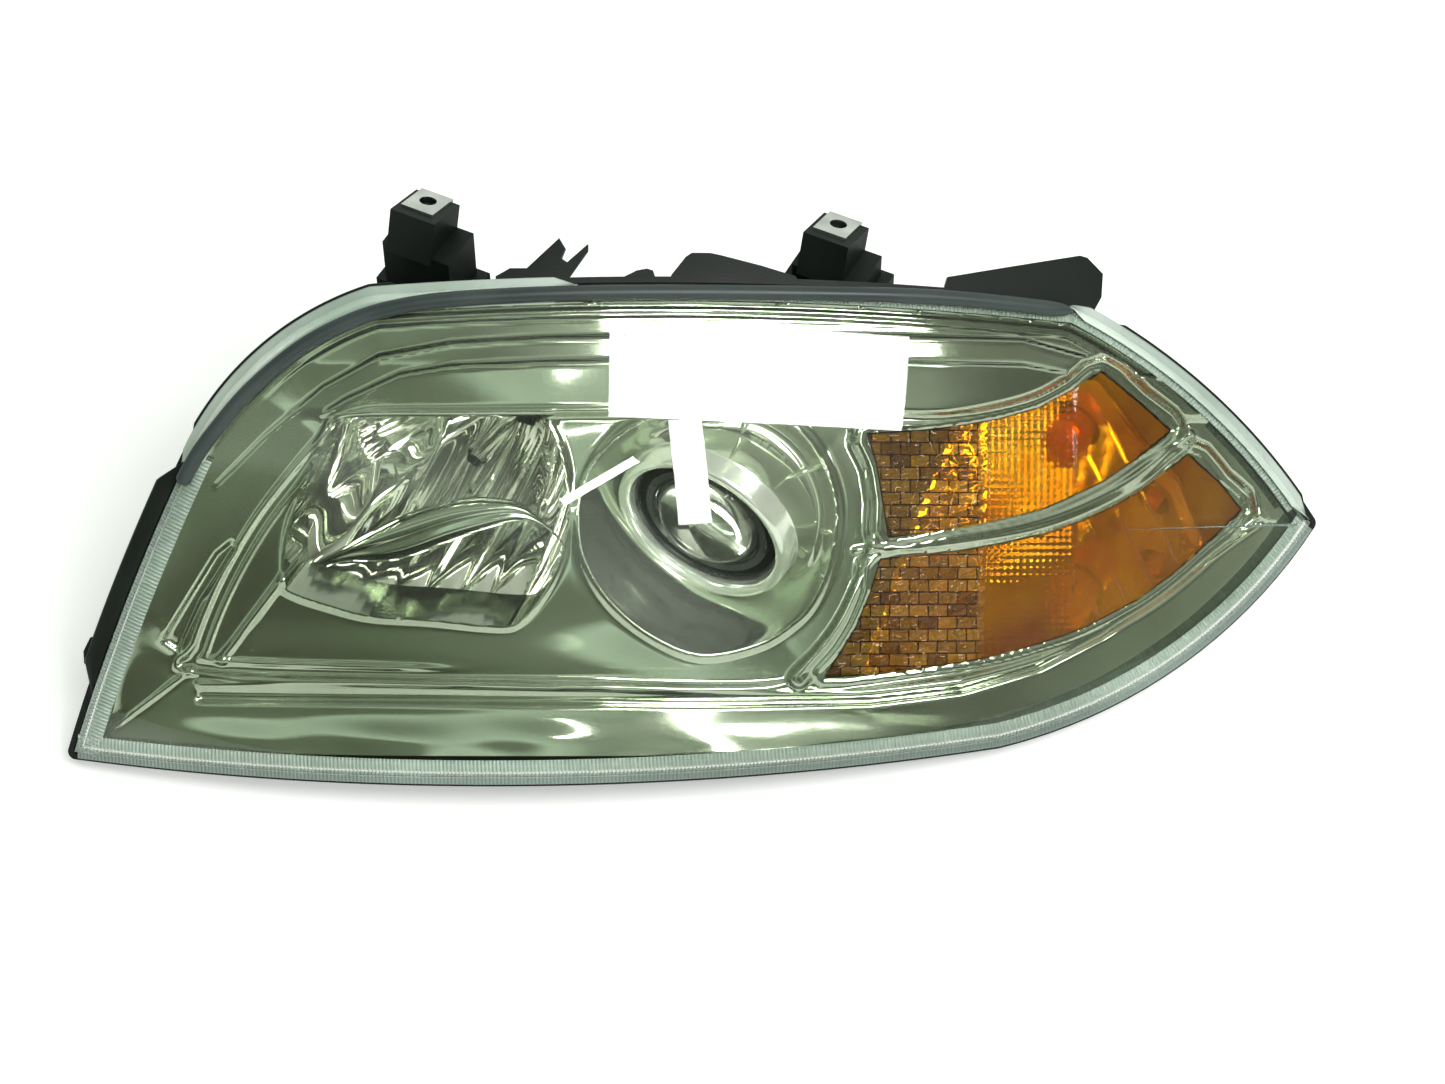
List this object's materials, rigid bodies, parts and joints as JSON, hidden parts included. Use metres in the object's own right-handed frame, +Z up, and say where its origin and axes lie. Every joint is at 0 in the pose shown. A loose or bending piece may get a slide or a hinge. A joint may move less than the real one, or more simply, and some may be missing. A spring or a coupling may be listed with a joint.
{
  "type": "car headlight assembly",
  "caption": "Left-hand vehicle headlight with a low-beam projector, high-beam reflector, amber turn windows, aiming screw, twist-off rear caps and a ballast.",
  "frame": {"origin": "centre of the lamp's footprint, on the surface it stands on", "axes": "+X outboard, +Y rearward so the beams leave along -Y, +Z up"},
  "size_m": [0.526, 0.4294, 0.2313],
  "materials": {
    "clear_lens": "clear hard-coated plastic",
    "black_sealant": "butyl",
    "black_rubber": "satin rubber",
    "black_housing": "moulded, satin",
    "plated_bezel": "vacuum-metallised, smoked",
    "plated_mirror": "vacuum-metallised",
    "amber": "transparent amber",
    "zinc_steel": "zinc plated",
    "cast_aluminium": "cast, satin",
    "optic_glass": "polished",
    "bulb_glass": "polished",
    "amber_glass": "amber tinted",
    "grey_plastic": "moulded",
    "white_plastic": "moulded"
  },
  "bodies": {
    "lamp_body": {"housing": "black_housing", "outer_lens": "clear_lens", "lens_sealant": "black_sealant", "top_seal": "black_rubber", "bezel": "plated_bezel", "bezel_screws": "zinc_steel", "amber_lens_upper": "amber", "amber_lens_lower": "amber", "turn_reflector": "plated_mirror", "projector_shroud": "plated_bezel", "pivot_pins": "zinc_steel", "ballast": "cast_aluminium", "ballast_gasket": "black_rubber", "ballast_screws": "zinc_steel", "clip_nut_inboard": "zinc_steel", "clip_nut_outboard": "zinc_steel", "lower_bush": "zinc_steel", "harness_connector": "grey_plastic", "vent_cap": "black_rubber"},
    "aim_unit": {"aim_frame": "black_housing", "adjuster_nut": "white_plastic", "lens_holder": "black_housing", "projector_lens": "optic_glass", "cutoff_shield": "zinc_steel", "projector_bowl": "cast_aluminium", "low_bulb_glass": "bulb_glass", "low_bulb_base": "grey_plastic", "bulb_retainer": "zinc_steel", "low_bulb_igniter": "cast_aluminium", "high_beam_reflector": "plated_mirror", "high_beam_visor": "plated_bezel"},
    "high_bulb": {"high_bulb_base": "grey_plastic", "high_bulb_glass": "bulb_glass"},
    "aim_screw": {"adjuster_screw": "white_plastic"},
    "low_cap": {"low_beam_cap": "black_housing", "low_cap_gasket": "black_rubber"},
    "high_cap": {"high_beam_cap": "black_housing", "high_cap_gasket": "black_rubber"},
    "turn_holder": {"turn_socket": "grey_plastic", "turn_socket_ring": "black_rubber", "turn_bulb": "amber_glass"},
    "marker_holder": {"marker_socket": "grey_plastic", "marker_socket_ring": "black_rubber", "marker_bulb": "amber_glass"}
  },
  "joints": [
    {"name": "aim_tilt", "type": "hinge", "parent": "lamp_body", "child": "aim_unit", "pos_m": [-0.0844, 0.0507, 0.1286], "axis": [1, 0, 0], "range_deg": [-2.5, 2.5]},
    {"name": "aim_screw_turn", "type": "hinge", "parent": "lamp_body", "child": "aim_screw", "pos_m": [-0.0824, 0.0707, 0.0586], "axis": [0, 1, 0], "range_deg": [-550.3, 550.3]},
    {"name": "high_bulb_twist", "type": "hinge", "parent": "aim_unit", "child": "high_bulb", "pos_m": [-0.1239, 0.0387, 0.1106], "axis": [0, 1, 0], "range_deg": [0, 30]},
    {"name": "low_cap_twist", "type": "hinge", "parent": "lamp_body", "child": "low_cap", "pos_m": [-0.0019, 0.1277, 0.1062], "axis": [0, 1, 0], "range_deg": [0, 40]},
    {"name": "high_cap_twist", "type": "hinge", "parent": "lamp_body", "child": "high_cap", "pos_m": [-0.1239, 0.0707, 0.1106], "axis": [0, 1, 0], "range_deg": [0, 40]},
    {"name": "turn_socket_twist", "type": "hinge", "parent": "lamp_body", "child": "turn_holder", "pos_m": [0.1316, 0.1947, 0.1006], "axis": [0, 1, 0], "range_deg": [0, 45]},
    {"name": "marker_socket_twist", "type": "hinge", "parent": "lamp_body", "child": "marker_holder", "pos_m": [0.1776, 0.1947, 0.0666], "axis": [0, 1, 0], "range_deg": [0, 45]}
  ],
  "couplings": [
    {"joint": "aim_screw_turn", "follows": "aim_tilt", "ratio": -219.91}
  ]
}
